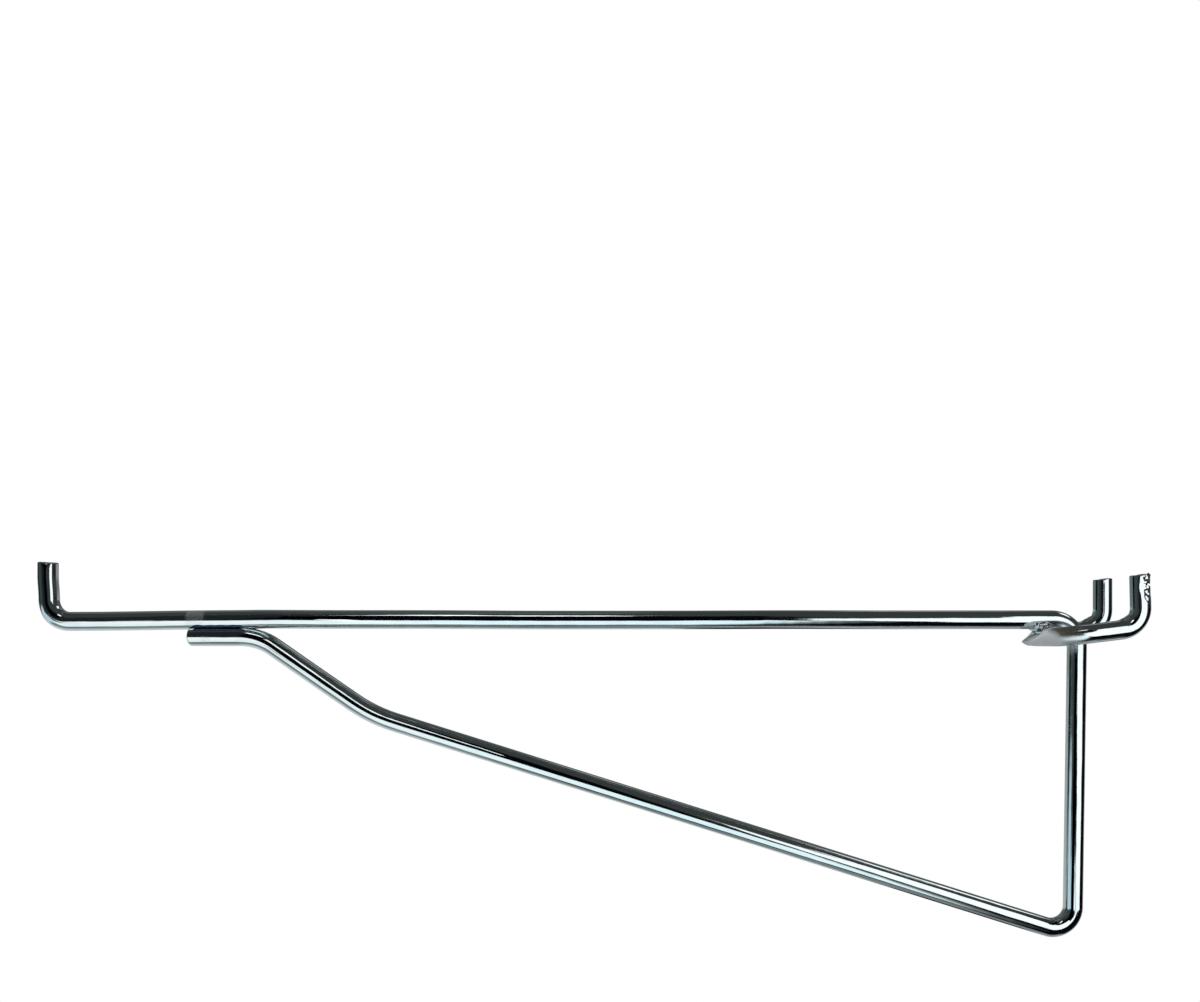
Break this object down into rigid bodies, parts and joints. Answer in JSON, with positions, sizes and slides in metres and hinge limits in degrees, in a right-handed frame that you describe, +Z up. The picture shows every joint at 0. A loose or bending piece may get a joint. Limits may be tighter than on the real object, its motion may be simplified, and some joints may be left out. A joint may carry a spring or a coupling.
{
  "type": "pegboard hook",
  "caption": "Shelf hook of bent and welded zinc-plated wire: an arm with an upturned tip, a braced leg, and a U of wire whose upturned ends hook into a perforated board.",
  "frame": {"origin": "midway between the axes of the two pegs, at the foot of their straight length", "axes": "+X from the upturned tip towards the board, +Z up along the pegs, +Y across the hook"},
  "size_m": [0.3233, 0.031, 0.1109],
  "materials": {
    "zinc_plated_wire": "bright zinc plating on round steel wire, dull grey at the welds"
  },
  "bodies": {
    "root": {"frame_wire": "zinc_plated_wire", "peg_wire": "zinc_plated_wire"}
  },
  "joints": []
}
